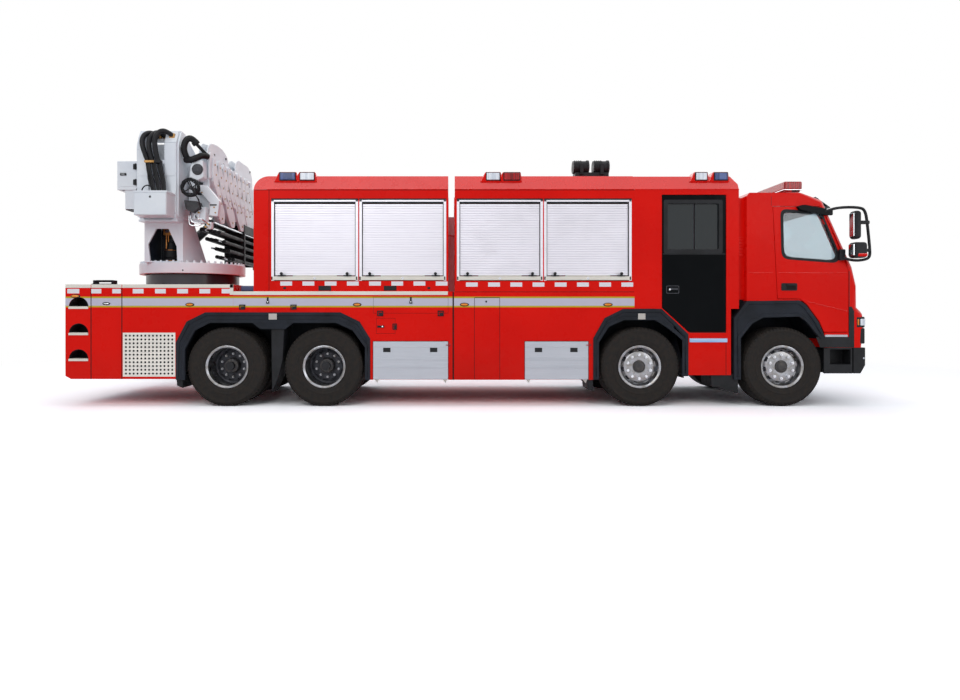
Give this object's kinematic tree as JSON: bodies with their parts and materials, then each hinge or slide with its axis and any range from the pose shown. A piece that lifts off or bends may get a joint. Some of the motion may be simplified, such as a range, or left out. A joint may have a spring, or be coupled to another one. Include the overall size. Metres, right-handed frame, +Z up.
{
  "type": "fire rescue truck",
  "caption": "Eight-wheeled fire rescue truck with a crew cab, shuttered equipment lockers and a slewing, folding telescopic boom on its rear deck.",
  "frame": {"origin": "middle of the whole object's box on the ground, as parked with the boom slewed to the left", "axes": "+X forward, +Y to the truck's left, +Z up"},
  "size_m": [11.225, 7.1, 4],
  "materials": {
    "red_paint": "gloss red enamel",
    "white_paint": "pale grey-white enamel",
    "chassis_paint": "satin black chassis paint",
    "arch_plastic": "dark blue-grey moulded plastic",
    "tyre_rubber": "vulcanised tread rubber",
    "rim_steel": "polished forged wheel",
    "shutter_aluminium": "anodised slats",
    "flap_aluminium": "brushed sheet",
    "cast_iron": "cast and painted",
    "glass": "tinted laminated glass",
    "black_gloss": "gloss black",
    "seat_cloth": "woven seat cloth",
    "black_rubber": "moulded rubber",
    "cylinder_steel": "hard chromed rod"
  },
  "bodies": {
    "chassis": {"chassis_frame": "chassis_paint", "cross_members": "chassis_paint", "engine_block": "cast_iron", "axles": "chassis_paint", "wheel_arches": "arch_plastic", "rear_deck_body": "red_paint", "side_grilles": "shutter_aluminium", "lower_locker_body": "red_paint", "upper_locker_bodies": "red_paint", "roller_shutters": "shutter_aluminium", "crew_cabin": "red_paint", "cab_shell": "red_paint", "windscreen": "glass", "seats": "seat_cloth", "dashboard": "black_gloss", "bumpers": "black_rubber", "cab_steps": "black_gloss", "roof_lamps": "black_gloss", "boom_cradle": "white_paint", "turntable_ring": "chassis_paint"},
    "turret": {"turntable_disc": "white_paint", "turret_frame": "white_paint", "turret_cabinets": "white_paint"},
    "main_arm": {"main_arm": "white_paint"},
    "fold_arm": {"fold_arm": "white_paint"},
    "luff_barrel": {"luff_barrel": "white_paint"},
    "luff_rod": {"luff_rod": "cylinder_steel"},
    "telescope_section_1": {"telescope_section_1": "white_paint"},
    "telescope_section_2": {"telescope_section_2": "white_paint"},
    "telescope_section_3": {"telescope_section_3": "white_paint"},
    "knuckle_1_right": {"knuckle_1_right": "cast_iron"},
    "knuckle_2_right": {"knuckle_2_right": "cast_iron"},
    "wheel_1_right": {"tyre_1_right": "tyre_rubber", "rim_1_right": "rim_steel"},
    "wheel_2_right": {"tyre_2_right": "tyre_rubber", "rim_2_right": "rim_steel"},
    "wheel_3_right": {"tyre_3_right": "tyre_rubber", "rim_3_right": "rim_steel"},
    "wheel_4_right": {"tyre_4_right": "tyre_rubber", "rim_4_right": "rim_steel"},
    "cab_door_right": {"cab_door_right": "red_paint", "mirror_right": "black_gloss"},
    "crew_door_right": {"crew_door_right": "black_gloss"},
    "locker_flap_rear_right": {"locker_flap_rear_right": "flap_aluminium"},
    "locker_flap_front_right": {"locker_flap_front_right": "flap_aluminium"},
    "knuckle_1_left": {"knuckle_1_left": "cast_iron"},
    "knuckle_2_left": {"knuckle_2_left": "cast_iron"},
    "wheel_1_left": {"tyre_1_left": "tyre_rubber", "rim_1_left": "rim_steel"},
    "wheel_2_left": {"tyre_2_left": "tyre_rubber", "rim_2_left": "rim_steel"},
    "wheel_3_left": {"tyre_3_left": "tyre_rubber", "rim_3_left": "rim_steel"},
    "wheel_4_left": {"tyre_4_left": "tyre_rubber", "rim_4_left": "rim_steel"},
    "cab_door_left": {"cab_door_left": "red_paint", "mirror_left": "black_gloss"},
    "crew_door_left": {"crew_door_left": "black_gloss"},
    "locker_flap_rear_left": {"locker_flap_rear_left": "flap_aluminium"},
    "locker_flap_front_left": {"locker_flap_front_left": "flap_aluminium"}
  },
  "joints": [
    {"name": "steer_1_right", "type": "hinge", "parent": "chassis", "child": "knuckle_1_right", "pos_m": [4.4585, -3.01, 0.555], "axis": [0, 0, 1], "range_deg": [-35, 35]},
    {"name": "wheel_1_right_spin", "type": "hinge", "parent": "knuckle_1_right", "child": "wheel_1_right", "pos_m": [4.4585, -3.11, 0.555], "axis": [0, 1, 0], "continuous": true},
    {"name": "steer_2_right", "type": "hinge", "parent": "chassis", "child": "knuckle_2_right", "pos_m": [2.4565, -3.01, 0.555], "axis": [0, 0, 1], "range_deg": [-23, 23]},
    {"name": "wheel_2_right_spin", "type": "hinge", "parent": "knuckle_2_right", "child": "wheel_2_right", "pos_m": [2.4565, -3.11, 0.555], "axis": [0, 1, 0], "continuous": true},
    {"name": "wheel_3_right_spin", "type": "hinge", "parent": "chassis", "child": "wheel_3_right", "pos_m": [-1.9745, -2.985, 0.555], "axis": [0, 1, 0], "continuous": true},
    {"name": "wheel_4_right_spin", "type": "hinge", "parent": "chassis", "child": "wheel_4_right", "pos_m": [-3.3395, -2.985, 0.555], "axis": [0, 1, 0], "continuous": true},
    {"name": "steer_1_left", "type": "hinge", "parent": "chassis", "child": "knuckle_1_left", "pos_m": [4.4585, -1.09, 0.555], "axis": [0, 0, 1], "range_deg": [-35, 35]},
    {"name": "wheel_1_left_spin", "type": "hinge", "parent": "knuckle_1_left", "child": "wheel_1_left", "pos_m": [4.4585, -0.99, 0.555], "axis": [0, 1, 0], "continuous": true},
    {"name": "steer_2_left", "type": "hinge", "parent": "chassis", "child": "knuckle_2_left", "pos_m": [2.4565, -1.09, 0.555], "axis": [0, 0, 1], "range_deg": [-23, 23]},
    {"name": "wheel_2_left_spin", "type": "hinge", "parent": "knuckle_2_left", "child": "wheel_2_left", "pos_m": [2.4565, -0.99, 0.555], "axis": [0, 1, 0], "continuous": true},
    {"name": "wheel_3_left_spin", "type": "hinge", "parent": "chassis", "child": "wheel_3_left", "pos_m": [-1.9745, -1.115, 0.555], "axis": [0, 1, 0], "continuous": true},
    {"name": "wheel_4_left_spin", "type": "hinge", "parent": "chassis", "child": "wheel_4_left", "pos_m": [-3.3395, -1.115, 0.555], "axis": [0, 1, 0], "continuous": true},
    {"name": "cab_door_right_hinge", "type": "hinge", "parent": "chassis", "child": "cab_door_right", "pos_m": [5.3605, -3.292, 1.5], "axis": [0, 0, 1], "range_deg": [0, 70]},
    {"name": "crew_door_right_hinge", "type": "hinge", "parent": "chassis", "child": "crew_door_right", "pos_m": [3.6465, -3.292, 2], "axis": [0, 0, 1], "range_deg": [0, 85]},
    {"name": "locker_flap_rear_right_hinge", "type": "hinge", "parent": "chassis", "child": "locker_flap_rear_right", "pos_m": [-0.7585, -3.292, 0.389], "axis": [1, 0, 0], "range_deg": [0, 90]},
    {"name": "locker_flap_front_right_hinge", "type": "hinge", "parent": "chassis", "child": "locker_flap_front_right", "pos_m": [1.2855, -3.292, 0.389], "axis": [1, 0, 0], "range_deg": [0, 90]},
    {"name": "cab_door_left_hinge", "type": "hinge", "parent": "chassis", "child": "cab_door_left", "pos_m": [5.3605, -0.808, 1.5], "axis": [0, 0, -1], "range_deg": [0, 70]},
    {"name": "crew_door_left_hinge", "type": "hinge", "parent": "chassis", "child": "crew_door_left", "pos_m": [3.6465, -0.808, 2], "axis": [0, 0, -1], "range_deg": [0, 85]},
    {"name": "locker_flap_rear_left_hinge", "type": "hinge", "parent": "chassis", "child": "locker_flap_rear_left", "pos_m": [-0.7585, -0.808, 0.389], "axis": [-1, 0, 0], "range_deg": [0, 90]},
    {"name": "locker_flap_front_left_hinge", "type": "hinge", "parent": "chassis", "child": "locker_flap_front_left", "pos_m": [1.2855, -0.808, 0.389], "axis": [-1, 0, 0], "range_deg": [0, 90]},
    {"name": "turret_slew", "type": "hinge", "parent": "chassis", "child": "turret", "pos_m": [-4.2925, -2.05, 1.9], "axis": [0, 0, 1], "range_deg": [-20, 200]},
    {"name": "boom_luff", "type": "hinge", "parent": "turret", "child": "main_arm", "pos_m": [-4.4525, -2.6, 3.72], "axis": [1, 0, 0], "range_deg": [0, 75]},
    {"name": "arm_fold", "type": "hinge", "parent": "main_arm", "child": "fold_arm", "pos_m": [-3.9725, 3.35, 3.19], "axis": [-1, 0, 0], "range_deg": [0, 170]},
    {"name": "telescope_1", "type": "slide", "parent": "fold_arm", "child": "telescope_section_1", "axis": [0, -1, 0], "range_m": [0, 3.2]},
    {"name": "telescope_2", "type": "slide", "parent": "telescope_section_1", "child": "telescope_section_2", "axis": [0, -1, 0], "range_m": [0, 3.2]},
    {"name": "telescope_3", "type": "slide", "parent": "telescope_section_2", "child": "telescope_section_3", "axis": [0, -1, 0], "range_m": [0, 3.2]},
    {"name": "luff_barrel_swing", "type": "hinge", "parent": "turret", "child": "luff_barrel", "pos_m": [-4.4525, -2.1, 2.3], "axis": [1, 0, 0], "range_deg": [0, 75]},
    {"name": "luff_rod_slide", "type": "slide", "parent": "luff_barrel", "child": "luff_rod", "axis": [0, 0.9087, 0.4175], "range_m": [0, 1.577]}
  ],
  "couplings": [
    {"joint": "steer_1_left", "follows": "steer_1_right", "ratio": 1},
    {"joint": "steer_2_right", "follows": "steer_1_right", "ratio": 0.65},
    {"joint": "steer_2_left", "follows": "steer_1_right", "ratio": 0.65},
    {"joint": "telescope_2", "follows": "telescope_1", "ratio": 1},
    {"joint": "telescope_3", "follows": "telescope_1", "ratio": 1},
    {"joint": "luff_barrel_swing", "follows": "boom_luff", "ratio": 0.7305},
    {"joint": "luff_rod_slide", "follows": "boom_luff", "m_per_rad": 1.1973}
  ]
}
